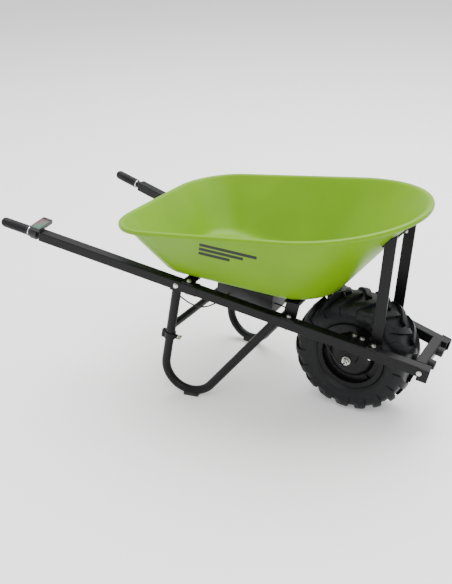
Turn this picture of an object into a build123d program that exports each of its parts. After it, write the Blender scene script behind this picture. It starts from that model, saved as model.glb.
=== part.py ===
from build123d import *
import os
from math import acos, asin, atan2, cos, hypot, pi, radians, sin, tan

os.makedirs("parts", exist_ok=True)

# ---------------------------------------------------------------- driving sizes, mm and degrees
# frame: two square side rails that close in towards the wheel and fall towards the front
frame_slope = 12.85  # fall of the deck, the plane that the rail tops lie in
toe_in = 8.5  # turn of each rail towards the middle, in that plane
deck_height = 309.7  # deck above the ground, over the wheel's axle
rail_spread = 141.0  # rail axis to the middle, at the axle
tube_size = 35.0  # rails and handle tubes, square
tube_wall = 1.5
tube_corner = 4.0
joiner_clearance = 0.2
joiner_wall = 2.0
rail_front = 286.5  # distances along the rail from the axle, forward positive
rail_rear = -240.0
joiner_front = -130.0
joiner_rear = -577.0
handle_front = -491.7
handle_rear = -1076.6

# handles
grip_tube_d = 28.0
grip_tube_wall = 2.0
grip_tube_depth = 90.0  # part of the grip tube inside the handle tube
end_cap_face = 5.0
end_cap_plug = 22.0
grip_d = 34.0
grip_length = 108.0
grip_end_wall = 12.0
grip_ribs = 9
grip_rib_start = 40.0
collar_width = 5.0
collar_d = 31.0
right_grip_gap = 42.0  # bare tube between the end cap and the collar, where the throttle sits
left_grip_gap = 14.0

# wheel and hub motor
tyre_radius = 203.0
tyre_width = 164.0
tread_depth = 13.0
tyre_wall = 9.0
lug_count = 18
lug_width = 19.0
lug_shoulder = 36.0  # width of a tread bar at the shoulder
bead_radius = 101.6
rim_width = 132.0
flange_height = 12.4
rim_wall = 4.0
shell_radius = 96.0
shell_wall = 7.0
cover_face = 44.0  # half the distance between the flat rings of the two motor covers
cover_dome = 78.0  # half the distance over the domes
cover_wall = 4.0
dome_radius = 74.0
magnet_count = 20
magnet_thick = 3.0
air_gap = 0.8
stator_stack = 46.0
stator_slots = 18
axle_d = 15.0
axle_flat = 10.0
axle_half = 116.0
bearing_od = 35.0
bearing_width = 11.0
cover_screw_count = 6
valve_angle = -51.0
running_gap = 0.05
lug_sweep = 62.0  # how far a tread bar runs back on its way to the shoulder
axle_bore = 6.0  # for the motor cable
axle_bore_depth = 40.0
axle_nut_across = 22.0
axle_nut_height = 11.0
bearing_end = 65.0  # outer face of a bearing, from the middle
cover_screw_d = 5.0
cover_screw_ring = 93.0
cover_screw_length = 12.0
valve_d = 5.2
valve_length = 22.0
valve_offset = 50.5
valve_tilt = 14.0

# axle carriers
hanger_face = 90.0  # inner face of the hanger plate to the middle
hanger_plate = 6.0
hanger_width = 50.0
hanger_bolt_front = 53.0
hanger_bolt_pitch = 27.0
ledge_plate = 5.0
ledge_length = 74.0

# tray, measured from the axle
tray_wall = 4.0
rim_front = 206.0
rim_rear = -781.0
rim_half = 341.0
rim_corner = 180.0
rim_height = 690.6  # rim plane over the axle
rim_rise = 5.98
rim_lip = 13.0
rim_skirt = 12.0
floor_front = -80.0
floor_rear = -640.0
floor_half_front = 165.0
floor_half_rear = 205.0
floor_corner = 90.0
floor_height = 381.0  # underside of the floor, carried forward to the axle
floor_fall = 5.8
floor_fillet = 58.0

# tray carriers
crossbar_plate = 4.0
rear_bar_place = -522.9  # along the deck from the axle
rear_bar_width = 40.0
front_bar_place = -178.0
front_bar_width = 44.0
foot_reach = 15.0
strap_bolt_spread = 50.0
strut_place = 79.0  # rear edge of the strut at the deck, from the axle
strut_width = 35.0
strut_plate = 6.0
strut_lean = 4.2
strut_face = 91.0  # inner face of the strut to the middle
strap_plate = 5.0
strap_height = 42.0
strap_share = 0.73  # height of the strap's middle up the tray's front wall

# front end
cross_tube = 35.0
cross_set_back = 22.0  # rail end to the front face of the cross tube
cross_end_block = 12.0  # solid end of the cross tube, tapped for its bolt
ear_bolt_set_back = 30.0
ear_plate = 4.0
ear_length = 34.0
ear_drop = 9.0
buffer_d = 31.0
buffer_length = 20.0
buffer_spread = 45.0
buffer_recess_d = 11.0

# legs
leg_tube_d = 30.0
leg_tube_wall = 2.0
leg_bend = 92.0
leg_foot_place = -515.0  # middle of the bend, along the ground from the axle
leg_lean = 11.0
leg_front_angle = 50.3
shoe_plate = 3.0
shoe_length = 52.0
shoe_width = 26.0
post_d = 31.5
post_wall = 2.2
post_bottom = 222.0  # height of the joint between leg and post
spigot_length = 55.0
spigot_clearance = 0.1
swage_length = 6.0
collar_height = 24.0
collar_wall = 3.5
collar_lug = 9.0
collar_boss = 8.0
wing_hub = 9.0
wing_span = 28.0
wing_screw_d = 8.0
brace_d = 25.0
brace_height = 254.0
saddle_plate = 4.0

# battery box under the tray
box_length = 200.0
box_width = 270.0
box_depth = 74.0
box_wall = 3.0
box_front = -245.0  # front wall of the box, from the axle
bar_width = 22.0
bar_plate = 4.0
bar_spread = 100.0
lid_plate = 4.0
latch_width = 26.0
latch_d = 8.0
latch_reach = 14.0
knuckle_in = 70.0
knuckle_length = 14.0
pin_d = 3.0

# throttle and display
clamp_d = 44.0
clamp_width = 22.0
pod_length = 38.0
pod_reach = 66.0
pod_overhang = 24.0
pod_thick = 12.0
pod_neck = 24.0  # width of the block between the clamp and the pod
lever_width = 8.0
lever_ring_d = 38.0
lever_reach = 50.0
lever_thumb = 10.0
lens_plate = 1.6
button_d = 8.0
button_travel = 1.2

# cables
cable_d = 5.0
cable_line = 5.0  # distance of the throttle cable inwards from the tube's middle
clip_width = 6.0
clip_wall = 1.4
clip_places = (-1010.0, -860.0, -710.0)

# fasteners
m8 = 8.0
m6 = 6.0
hole_gap = 0.25

# ---------------------------------------------------------------- reference planes
slope = radians(frame_slope)
toe = radians(toe_in)
half_tube = tube_size / 2
grip_radius = grip_d / 2


def at(base, x=0.0, y=0.0, z=0.0, turn=(0, 0, 0)):
    """A plane at a point of another plane, turned about that plane's own axes."""
    return Plane(base.location * Location((x, y, z), turn))


right_grip_end = handle_rear - end_cap_face - right_grip_gap - collar_width - grip_length
left_grip_end = handle_rear - end_cap_face - left_grip_gap - collar_width - grip_length
rear_reach = -(right_grip_end + grip_radius) * cos(toe) * cos(slope) + half_tube * sin(slope) + grip_radius
buffer_face = (rail_front - cross_set_back) + buffer_length
front_reach = buffer_face * cos(slope) - (half_tube - buffer_d / 2) * sin(slope)
axle_x = (rear_reach - front_reach) / 2  # the axle's place, with the origin under the middle of the whole



def tilted(height, fall):
    """A plane over the axle at a height, falling towards the front by an angle."""
    forward = (cos(fall), 0, -sin(fall))
    return Plane(origin=(axle_x, 0, height), x_dir=forward, z_dir=(sin(fall), 0, cos(fall)))


deck = tilted(deck_height, slope)
right_rail = at(deck, y=-rail_spread, z=-half_tube, turn=(0, 0, toe_in))
left_rail = at(deck, y=rail_spread, z=-half_tube, turn=(0, 0, -toe_in))
wheel = Plane(origin=(axle_x, 0, tyre_radius), x_dir=(1, 0, 0), z_dir=(0, -1, 0))  # local z to the right side
rim_plane = tilted(rim_height, -radians(rim_rise))
floor_tilt = radians(floor_fall)
floor_plane = tilted(floor_height, floor_tilt)

heading = atan2(right_rail.x_dir.Y, right_rail.x_dir.X)
leg_plane = Plane(
    origin=(right_rail.origin.X, right_rail.origin.Y, 0),
    x_dir=(cos(heading), sin(heading), 0),
    z_dir=(sin(heading), -cos(heading), 0),
)


def across(rail, place):
    """The plane square to a rail at a distance along it; its normal looks forward."""
    point = rail.from_local_coords(Vector(place, 0, 0))
    return Plane(origin=point, x_dir=rail.y_dir, z_dir=rail.x_dir)


# ---------------------------------------------------------------- shared hardware
flange_plate = 1.6
thread_gap = 0.05


def flange_bolt(shank, length):
    """A flanged hex bolt: the flange rests on z = 0, the head stands up and the shank runs down."""
    with BuildPart() as bolt:
        Cylinder(shank * 1.05, flange_plate, align=(Align.CENTER, Align.CENTER, Align.MIN))
        with BuildSketch(Plane.XY.offset(flange_plate)):
            RegularPolygon(shank * 0.8, 6, major_radius=False)
        extrude(amount=shank * 0.55)
        chamfer(bolt.faces().sort_by(Axis.Z)[-1].edges(), shank * 0.07)
        Cylinder(shank / 2, length, align=(Align.CENTER, Align.CENTER, Align.MAX))
    return bolt.part


def flange_nut(shank):
    """A flanged nut: its flange rests on z = 0 and it stands up from there, open for the shank."""
    with BuildPart() as nut:
        Cylinder(shank * 1.05, flange_plate, align=(Align.CENTER, Align.CENTER, Align.MIN))
        with BuildSketch(Plane.XY.offset(flange_plate)):
            RegularPolygon(shank * 0.8, 6, major_radius=False)
        extrude(amount=shank * 0.7)
        chamfer(nut.faces().sort_by(Axis.Z)[-1].edges(), shank * 0.07)
        Cylinder(shank / 2 + thread_gap, shank * 4, mode=Mode.SUBTRACT)
    return nut.part


def bolted(seat, shank, clamped):
    """A bolt on a seat plane and, at the far side of what it clamps, its nut."""
    nut_seat = at(seat, z=-clamped, turn=(180, 0, 0))
    tail = flange_plate + shank * 0.7 + 3
    bolt = flange_bolt(shank, clamped + tail)
    return [bolt.moved(seat.location), flange_nut(shank).moved(nut_seat.location)]


def bore(seat, radius, depth):
    """Cuts a round hole down from a seat plane out of the active part."""
    with Locations(seat):
        Cylinder(radius, depth, align=(Align.CENTER, Align.CENTER, Align.MAX), mode=Mode.SUBTRACT)


def block(base, low, high, mode=Mode.ADD):
    """A box between two corners in a plane's own axes, joined to the active part."""
    size = [b - a for a, b in zip(low, high)]
    middle = [(a + b) / 2 for a, b in zip(low, high)]
    with Locations(at(base, *middle)):
        Box(*size, mode=mode)


def square_tube(size, wall, corner):
    """The section of a square tube, drawn in the active sketch."""
    RectangleRounded(size, size, corner)
    RectangleRounded(size - 2 * wall, size - 2 * wall, corner - wall, mode=Mode.SUBTRACT)


def save(builder, name):
    """Labels a finished piece and writes it."""
    builder.part.label = name
    export_step(builder.part, f"parts/{name}.step")
    print(name)


# ---------------------------------------------------------------- where things stand on the rails
along_toe = 1 / cos(toe)
rear_bar_seat = at(right_rail, rear_bar_place * along_toe, 0, half_tube)
front_bar_seat = at(right_rail, front_bar_place * along_toe, 0, half_tube)
strut_seat = at(right_rail, (strut_place + strut_width / 2) / cos(slope) * along_toe, 0, half_tube)
ear_seat = at(right_rail, rail_front - ear_bolt_set_back, -half_tube, 0, (90, 0, 0))
left_ear_seat = at(left_rail, rail_front - ear_bolt_set_back, half_tube, 0, (-90, 0, 0))
rail_fall = -right_rail.x_dir.Z / hypot(right_rail.x_dir.X, right_rail.x_dir.Y)  # per length along the ground

lean = radians(leg_lean)
front_angle = radians(leg_front_angle)
bend_height = shoe_plate + leg_tube_d / 2 + leg_bend  # centre of the leg's bend
foot_along = (leg_foot_place - (right_rail.origin.X - axle_x)) / cos(heading)
normals_sum = (sin(front_angle) - cos(lean), sin(lean) - cos(front_angle))
corner_scale = leg_bend / (1 - cos(lean) * sin(front_angle) - sin(lean) * cos(front_angle))
leg_corner = (foot_along + corner_scale * normals_sum[0], bend_height + corner_scale * normals_sum[1])


def rear_line(height):
    """The point on the axis of a rear post, in the leg plane, at a height above the ground."""
    return (leg_corner[0] + (height - leg_corner[1]) * tan(lean), height)


post_meets_rail = (right_rail.origin.Z - rail_fall * leg_corner[0] + rail_fall * leg_corner[1] * tan(lean)) / (
    1 + rail_fall * tan(lean)
)
post_place = rear_line(post_meets_rail)[0] * hypot(1, rail_fall)
leg_bolt_seat = at(right_rail, post_place, -half_tube, 0, (90, 0, 0))
bolt_hole = m8 / 2 + hole_gap


# ---------------------------------------------------------------- rails, joiners and handle tubes
with BuildPart() as right_front_rail:
    with BuildSketch(across(right_rail, rail_rear)):
        square_tube(tube_size, tube_wall, tube_corner)
    extrude(amount=rail_front - rail_rear)
    bore(front_bar_seat, bolt_hole, tube_size)
    bore(strut_seat, bolt_hole, tube_size)
    bore(ear_seat, bolt_hole, tube_size)
save(right_front_rail, "right_front_rail")

with BuildPart() as left_front_rail:
    mirror(right_front_rail.part, about=Plane.XZ)
save(left_front_rail, "left_front_rail")

joiner_size = tube_size - 2 * tube_wall - 2 * joiner_clearance
with BuildPart() as rail_joiners:
    with BuildSketch(across(right_rail, joiner_rear)):
        square_tube(joiner_size, joiner_wall, tube_corner - tube_wall + joiner_clearance)
    extrude(amount=joiner_front - joiner_rear)
    bore(front_bar_seat, bolt_hole, tube_size)
    bore(rear_bar_seat, bolt_hole, tube_size)
    bore(leg_bolt_seat, bolt_hole, tube_size)
    mirror(about=Plane.XZ)
save(rail_joiners, "rail_joiners")

with BuildPart() as right_handle_tube:
    with BuildSketch(across(right_rail, handle_rear)):
        square_tube(tube_size, tube_wall, tube_corner)
    extrude(amount=handle_front - handle_rear)
    bore(rear_bar_seat, bolt_hole, tube_size)
    bore(leg_bolt_seat, bolt_hole, tube_size)
save(right_handle_tube, "right_handle_tube")

with BuildPart() as left_handle_tube:
    mirror(right_handle_tube.part, about=Plane.XZ)
save(left_handle_tube, "left_handle_tube")

# ---------------------------------------------------------------- handle ends
with BuildPart() as handle_end_caps:
    with BuildSketch(across(right_rail, handle_rear)):
        RectangleRounded(tube_size, tube_size, tube_corner)
    extrude(amount=-end_cap_face)
    chamfer(handle_end_caps.faces().sort_by(Axis.X)[0].edges(), 2.0)
    with BuildSketch(across(right_rail, handle_rear)):
        RectangleRounded(joiner_size, joiner_size, tube_corner - tube_wall)
    extrude(amount=end_cap_plug)
    bore(at(right_rail, handle_rear - end_cap_face, 0, 0, (0, -90, 0)), grip_tube_d / 2 + hole_gap, 60)
    mirror(about=Plane.XZ)
save(handle_end_caps, "handle_end_caps")


def grip_tube(rail, grip_end):
    """The round tube of one handle, from inside the square tube to just short of the grip's end wall."""
    with BuildPart() as tube:
        with BuildSketch(across(rail, grip_end + grip_end_wall + 1.0)):
            Circle(grip_tube_d / 2)
            Circle(grip_tube_d / 2 - grip_tube_wall, mode=Mode.SUBTRACT)
        extrude(amount=handle_rear + grip_tube_depth - grip_end - grip_end_wall - 1.0)
    return tube.part


def hand_grip(rail, grip_end):
    """A rubber grip: a domed end, a smooth rear and a ribbed front."""
    rib_pitch = (grip_length - grip_rib_start - 6.0) / grip_ribs
    profile = at(rail, grip_end)
    with BuildPart() as grip:
        with BuildSketch(profile):
            with BuildLine():
                Line((0, 0), (grip_length, 0))
                Line((grip_length, 0), (grip_length, grip_radius))
                Line((grip_length, grip_radius), (grip_radius, grip_radius))
                RadiusArc((0, 0), (grip_radius, grip_radius), grip_radius)
            make_face()
        revolve(axis=Axis(profile.origin, profile.x_dir))
        mouth = at(rail, grip_end + grip_length, 0, 0, (0, 90, 0))
        bore(mouth, grip_tube_d / 2 + 0.1, grip_length - grip_end_wall)
        for rib in range(grip_ribs):
            with BuildSketch(across(rail, grip_end + grip_rib_start + rib * rib_pitch)):
                Circle(grip_radius + 1)
                Circle(grip_radius - 1.0, mode=Mode.SUBTRACT)
            extrude(amount=2.2, mode=Mode.SUBTRACT)
    return grip.part


grip_ends = ((right_rail, right_grip_end), (left_rail, left_grip_end))
with BuildPart() as grip_tubes:
    for rail, grip_end in grip_ends:
        add(grip_tube(rail, grip_end))
save(grip_tubes, "grip_tubes")

with BuildPart() as grips:
    for rail, grip_end in grip_ends:
        add(hand_grip(rail, grip_end))
save(grips, "grips")

with BuildPart() as grip_collars:
    for rail, grip_end in grip_ends:
        with BuildSketch(across(rail, grip_end + grip_length + 0.2)):
            Circle(collar_d / 2)
            Circle(grip_tube_d / 2 + 0.1, mode=Mode.SUBTRACT)
        extrude(amount=collar_width - 0.2)
save(grip_collars, "grip_collars")

# ---------------------------------------------------------------- front cross tube, ears and buffers
cross_front = rail_front - cross_set_back  # along the deck
cross_middle = at(deck, cross_front - cross_tube / 2, 0, -half_tube, (90, 0, 0))
cross_hollow = rail_spread - cross_front * tan(toe) - half_tube * along_toe - cross_end_block
with BuildPart() as front_crossmember:
    with BuildSketch(cross_middle):
        RectangleRounded(cross_tube, cross_tube, tube_corner)
    extrude(amount=rail_spread, both=True)
    split(bisect_by=at(right_rail, 0, half_tube, 0, (-90, 0, 0)), keep=Keep.TOP)
    split(bisect_by=at(left_rail, 0, -half_tube, 0, (90, 0, 0)), keep=Keep.TOP)
    with BuildSketch(cross_middle):
        RectangleRounded(cross_tube - 6, cross_tube - 6, tube_corner - 2)
    extrude(amount=cross_hollow, both=True, mode=Mode.SUBTRACT)
    bore(ear_seat, m8 / 2 + thread_gap, tube_size + cross_end_block * 2)
    bore(left_ear_seat, m8 / 2 + thread_gap, tube_size + cross_end_block * 2)
save(front_crossmember, "front_crossmember")

with BuildPart() as crossmember_ears:
    block(
        right_rail,
        (rail_front - ear_length, -half_tube - ear_plate, -half_tube - ear_drop),
        (rail_front, -half_tube, half_tube),
    )
    fillet(crossmember_ears.edges().filter_by(Axis(ear_seat.origin, ear_seat.z_dir)), 3.0)
    bore(at(ear_seat, z=ear_plate), bolt_hole, ear_plate)
    mirror(about=Plane.XZ)
save(crossmember_ears, "crossmember_ears")

with BuildPart() as crossmember_bolts:
    add(flange_bolt(m8, ear_plate + tube_size + cross_end_block).moved(at(ear_seat, z=ear_plate).location))
    mirror(about=Plane.XZ)
save(crossmember_bolts, "crossmember_bolts")

buffer_seats = [at(deck, cross_front, side * buffer_spread, -half_tube, (0, 90, 0)) for side in (-1, 1)]
with BuildPart() as front_buffers:
    with Locations(*buffer_seats):
        Cylinder(buffer_d / 2, buffer_length, align=(Align.CENTER, Align.CENTER, Align.MIN))
    fillet(front_buffers.edges().group_by(Axis(deck.origin, deck.x_dir))[-1], 2.0)
    for seat in buffer_seats:
        bore(at(seat, z=buffer_length), buffer_recess_d / 2, buffer_length / 2)
save(front_buffers, "front_buffers")


# ---------------------------------------------------------------- tray
def tray_outline(rear, front, half_rear, half_front, corner, inset):
    """The tray's plan: a straight rear end, round rear corners, straight sides and a half-round front."""
    corner_radius = corner - inset
    front_radius = half_front - inset
    corner_x, corner_y = rear + corner, half_rear - corner
    front_x = front - half_front
    spread_x, spread_y = corner_x - front_x, corner_y
    side = atan2(spread_y, spread_x) - acos((front_radius - corner_radius) / hypot(spread_x, spread_y))

    def on_corner(angle, way):
        return (corner_x + corner_radius * cos(angle), way * (corner_y + corner_radius * sin(angle)))

    def on_front(angle, way):
        return (front_x + front_radius * cos(angle), way * front_radius * sin(angle))

    middle = (pi + side) / 2
    with BuildLine() as outline:
        Line(on_corner(pi, -1), on_corner(pi, 1))
        ThreePointArc(on_corner(pi, 1), on_corner(middle, 1), on_corner(side, 1))
        Line(on_corner(side, 1), on_front(side, 1))
        ThreePointArc(on_front(side, 1), on_front(side / 2, 1), on_front(0, 1))
        ThreePointArc(on_front(0, 1), on_front(side / 2, -1), on_front(side, -1))
        Line(on_front(side, -1), on_corner(side, -1))
        ThreePointArc(on_corner(side, -1), on_corner(middle, -1), on_corner(pi, -1))
    make_face(outline.edges())


def rim_outline(inset):
    tray_outline(rim_rear, rim_front, rim_half, rim_half, rim_corner, inset)


def floor_outline(inset):
    tray_outline(floor_rear, floor_front, floor_half_rear, floor_half_front, floor_corner, inset)


def tray_form(inset):
    """The tray as a solid, drawn in by an inset: 0 is its outside, the wall's thickness its inside."""
    with BuildPart() as form:
        with BuildSketch(floor_plane.offset(inset)):
            floor_outline(inset)
        with BuildSketch(rim_plane):
            rim_outline(rim_lip + inset)
        loft()
        fillet(form.faces().sort_by(Axis.Z)[0].edges(), floor_fillet - inset)
    return form.part


tray_outside = tray_form(0)
tray_inside = tray_form(tray_wall)
strap_outside = tray_form(-strap_plate)

front_foot = floor_plane.from_local_coords(Vector(floor_front, 0, 0))
front_head = rim_plane.from_local_coords(Vector(rim_front - rim_lip, 0, 0))
wall_way = (front_head - front_foot).normalized()
wall_out = Vector(wall_way.Z, 0, -wall_way.X)
strap_middle = front_foot + (front_head - front_foot) * strap_share
front_wall = Plane(origin=strap_middle, x_dir=(0, 1, 0), z_dir=wall_out)
strap_round = (1 - strap_share) * floor_half_front + strap_share * (rim_half - rim_lip)


def strap_bolt_seat(side):
    """On the tray's inner face at the strap: a plane that looks back into the tray."""
    angle = asin(strap_bolt_spread / strap_round)
    back = strap_round * (1 - cos(angle))
    point = front_wall.origin + Vector(-back, side * strap_bolt_spread, 0)
    out = Vector(wall_out.X * cos(angle), side * wall_out.X * sin(angle), wall_out.Z).normalized()
    return Plane(origin=point - out * tray_wall, x_dir=wall_way.cross(out), z_dir=-out)


tray_bolt_places = [
    at(floor_plane, place * cos(slope) / cos(floor_tilt), side * bar_spread, tray_wall)
    for place in (rear_bar_place, front_bar_place)
    for side in (-1, 1)
]
strap_bolt_places = [strap_bolt_seat(side) for side in (-1, 1)]

with BuildPart() as rim_ring:
    with BuildSketch(rim_plane):
        rim_outline(0)
    extrude(amount=-rim_skirt)
    with BuildSketch(rim_plane):
        rim_outline(tray_wall)
    extrude(amount=-rim_skirt, mode=Mode.SUBTRACT)

with BuildPart() as tray:
    add(tray_outside)
    with BuildSketch(rim_plane):
        rim_outline(0)
    extrude(amount=-tray_wall)
    add(rim_ring.part)
    add(tray_inside, mode=Mode.SUBTRACT)
    for place in tray_bolt_places:
        bore(at(place, z=1), m8 / 2 + hole_gap, tray_wall * 2)
    for place in strap_bolt_places:
        bore(at(place, z=3), m8 / 2 + hole_gap, tray_wall * 3)
save(tray, "tray")

with BuildPart() as tray_bolts:
    for place in tray_bolt_places + strap_bolt_places:
        clamped = tray_wall + (strap_plate if place in strap_bolt_places else crossbar_plate + bar_plate)
        for piece in bolted(place, m8, clamped + 0.1):
            add(piece)
save(tray_bolts, "tray_bolts")


# ---------------------------------------------------------------- what carries the tray
def seat_across(seat):
    """The same seat plane on the other side of the machine."""
    return Plane(
        origin=(seat.origin.X, -seat.origin.Y, seat.origin.Z),
        x_dir=(seat.x_dir.X, -seat.x_dir.Y, seat.x_dir.Z),
        z_dir=(seat.z_dir.X, -seat.z_dir.Y, seat.z_dir.Z),
    )


def crossbar(seat, place, width):
    """A bent flat bar: two feet on the rails, two uprights and a strap that lies under the tray's floor."""
    middle = place * cos(slope) / cos(floor_tilt)
    reach = rail_spread - place * tan(toe) - (half_tube - crossbar_plate) * along_toe
    with BuildPart() as bar:
        block(floor_plane, (middle - width / 2, -reach, -crossbar_plate), (middle + width / 2, reach, 0))
        for rail, way in ((right_rail, 1), (left_rail, -1)):
            foot = at(rail, place * along_toe, 0, half_tube)
            inner, outer = way * half_tube, -way * foot_reach
            block(foot, (-width / 2, min(inner, outer), 0), (width / 2, max(inner, outer), crossbar_plate))
            edge = way * (half_tube - crossbar_plate)
            block(foot, (-width / 2, min(inner, edge), 0), (width / 2, max(inner, edge), 100))
        split(bisect_by=floor_plane, keep=Keep.BOTTOM)
        for hole in (at(seat, z=crossbar_plate), at(seat_across(seat), z=crossbar_plate)):
            bore(hole, bolt_hole, crossbar_plate)
        for side in (-1, 1):
            bore(at(floor_plane, middle, side * bar_spread, 1), bolt_hole, 20)
    return bar.part


with BuildPart() as rear_tray_crossbar:
    add(crossbar(rear_bar_seat, rear_bar_place, rear_bar_width))
save(rear_tray_crossbar, "rear_tray_crossbar")

with BuildPart() as front_tray_crossbar:
    add(crossbar(front_bar_seat, front_bar_place, front_bar_width))
save(front_tray_crossbar, "front_tray_crossbar")

bar_back = rear_bar_place * cos(slope) / cos(floor_tilt) - rear_bar_width / 2
bar_front = front_bar_place * cos(slope) / cos(floor_tilt) + front_bar_width / 2
under_strap = -crossbar_plate
box_top = under_strap - bar_plate
box_rear = box_front - box_length
box_screw_spots = [(x, side * bar_spread) for x in (box_rear + 25, box_front - 25) for side in (-1, 1)]
with BuildPart() as box_bars:
    for side in (-1, 1):
        block(
            floor_plane,
            (bar_back, side * bar_spread - bar_width / 2, box_top),
            (bar_front, side * bar_spread + bar_width / 2, under_strap),
        )
    for place in tray_bolt_places:
        bore(place, bolt_hole, 30)
    for x, y in box_screw_spots:
        bore(at(floor_plane, x, y, 0), m6 / 2 + hole_gap, 30)
save(box_bars, "box_bars")

# ---------------------------------------------------------------- struts and their strap
strut_tan = tan(radians(strut_lean))


def strut_edge(edge, height):
    """A point of the strut's side, with its edge's place at the deck, at a height above the ground."""
    start = deck_height - edge * tan(slope)
    return (axle_x + edge + (height - start) * strut_tan, height)


strut_rear_foot = deck_height - strut_place * tan(slope)
strut_front_foot = deck_height - (strut_place + strut_width) * tan(slope)
with BuildPart() as right_strut:
    with BuildSketch(Plane(origin=(0, -strut_face, 0), x_dir=(1, 0, 0), z_dir=(0, -1, 0))):
        with BuildLine():
            Polyline(
                strut_edge(strut_place, strut_rear_foot),
                strut_edge(strut_place + strut_width, strut_front_foot),
                strut_edge(strut_place + strut_width, rim_height),
                strut_edge(strut_place, rim_height),
                close=True,
            )
        make_face()
    extrude(amount=strut_plate)
    add(strap_outside, mode=Mode.SUBTRACT)
    add(right_strut.solids().sort_by(Axis.Z)[0], mode=Mode.REPLACE)
    foot_start = strut_place / cos(slope)
    block(
        deck,
        (foot_start, -rail_spread + foot_start * tan(toe) - foot_reach, 0),
        (foot_start + strut_width / cos(slope), -strut_face, strut_plate),
    )
    bore(at(strut_seat, z=strut_plate), bolt_hole, strut_plate)
save(right_strut, "right_strut")

with BuildPart() as left_strut:
    mirror(right_strut.part, about=Plane.XZ)
save(left_strut, "left_strut")

with BuildPart() as rail_bolts:
    bolted_seats = ((rear_bar_seat, crossbar_plate), (front_bar_seat, crossbar_plate), (strut_seat, strut_plate))
    for seat, plate in bolted_seats:
        for piece in bolted(at(seat, z=plate), m8, plate + tube_size):
            add(piece)
    mirror(about=Plane.XZ)
save(rail_bolts, "rail_bolts")

with BuildPart() as strut_strap:
    add(strap_outside)
    add(tray_outside, mode=Mode.SUBTRACT)
    with Locations(front_wall):
        Box(2 * (strut_face + strut_plate), strap_height, 160, mode=Mode.INTERSECT)
    for place in strap_bolt_places:
        bore(at(place, z=3), bolt_hole, 40)
save(strut_strap, "strut_strap")


# ---------------------------------------------------------------- legs
def tube_along(points, radius, bend):
    """A solid round bar along a bent line in the leg plane."""
    with BuildPart() as bar:
        with BuildLine(leg_plane) as path:
            FilletPolyline(*points, radius=bend)
        with BuildSketch(path.line ^ 0):
            Circle(radius)
        sweep()
    return bar.part

diagonal_length = (post_meets_rail - leg_corner[1]) / sin(front_angle) * 1.1
diagonal_end = (
    leg_corner[0] + diagonal_length * cos(front_angle),
    leg_corner[1] + diagonal_length * sin(front_angle),
)
leg_points = [rear_line(post_bottom), leg_corner, diagonal_end]
leg_outside = tube_along(leg_points, leg_tube_d / 2, leg_bend)
leg_inside = tube_along(leg_points, leg_tube_d / 2 - leg_tube_wall, leg_bend)
spigot_radius = post_d / 2 - post_wall - spigot_clearance
under_rail = at(right_rail, 0, 0, -half_tube)


def post_at(height):
    """A plane across the rear post at a height: z up the post, x forwards, y towards the middle."""
    middle = leg_plane.from_local_coords(Vector(*rear_line(height), 0))
    up = leg_plane.x_dir * sin(lean) + Vector(0, 0, cos(lean))
    ahead = leg_plane.x_dir * cos(lean) - Vector(0, 0, sin(lean))
    return Plane(origin=middle, x_dir=ahead, z_dir=up)


post_joint = post_at(post_bottom)
with BuildPart() as right_leg:
    add(leg_outside)
    add(leg_inside, mode=Mode.SUBTRACT)
    with Locations(post_joint):
        Cylinder(leg_tube_d / 2, swage_length, align=(Align.CENTER, Align.CENTER, Align.MAX))
        Cylinder(spigot_radius, spigot_length, align=(Align.CENTER, Align.CENTER, Align.MIN))
        Cylinder(spigot_radius - leg_tube_wall, 2 * spigot_length + 2, mode=Mode.SUBTRACT)
    split(bisect_by=under_rail, keep=Keep.BOTTOM)
save(right_leg, "right_leg")

with BuildPart() as left_leg:
    mirror(right_leg.part, about=Plane.XZ)
save(left_leg, "left_leg")

with BuildPart() as right_leg_post:
    with Locations(post_joint):
        Cylinder(post_d / 2, post_meets_rail, align=(Align.CENTER, Align.CENTER, Align.MIN))
        Cylinder(post_d / 2 - post_wall, 2 * post_meets_rail, mode=Mode.SUBTRACT)
    split(bisect_by=at(under_rail, z=-saddle_plate), keep=Keep.BOTTOM)
    saddle_half = tube_size / 2 + 2
    block(
        right_rail,
        (post_place - saddle_half, -post_d / 2, -half_tube - saddle_plate),
        (post_place + saddle_half, half_tube + saddle_plate, -half_tube),
    )
    block(
        right_rail,
        (post_place - saddle_half, half_tube, -half_tube - saddle_plate),
        (post_place + saddle_half, half_tube + saddle_plate, m8 * 1.5),
    )
    bore(leg_bolt_seat, bolt_hole, tube_size * 2)
save(right_leg_post, "right_leg_post")

with BuildPart() as left_leg_post:
    mirror(right_leg_post.part, about=Plane.XZ)
save(left_leg_post, "left_leg_post")

with BuildPart() as leg_bolts:
    for piece in bolted(leg_bolt_seat, m8, tube_size + saddle_plate):
        add(piece)
    mirror(about=Plane.XZ)
save(leg_bolts, "leg_bolts")

with BuildPart() as foot_shoes:
    block(
        leg_plane,
        (foot_along - shoe_length / 2, 0, -shoe_width / 2),
        (foot_along + shoe_length / 2, shoe_plate + leg_tube_d / 4, shoe_width / 2),
    )
    add(leg_outside, mode=Mode.SUBTRACT)
    mirror(about=Plane.XZ)
save(foot_shoes, "foot_shoes")

collar_bore = post_d / 2 + thread_gap
collar_outside = collar_bore + collar_wall
boss_end = collar_outside + collar_boss
with BuildPart() as leg_collars:
    with Locations(post_joint):
        Cylinder(collar_outside, collar_height)
    block(post_joint, (-collar_outside - collar_lug, -7, -collar_height * 0.6), (0, 7, collar_height * 0.6))
    with Locations(at(post_joint, turn=(0, 90, 0))):
        Cylinder(wing_screw_d, boss_end, align=(Align.CENTER, Align.CENTER, Align.MIN))
    with Locations(post_joint):
        Cylinder(collar_bore, 3 * collar_height, mode=Mode.SUBTRACT)
    bore(at(post_joint, x=boss_end + 1, turn=(0, 90, 0)), wing_screw_d / 2 + running_gap, boss_end)
    mirror(about=Plane.XZ)
save(leg_collars, "leg_collars")

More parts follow.
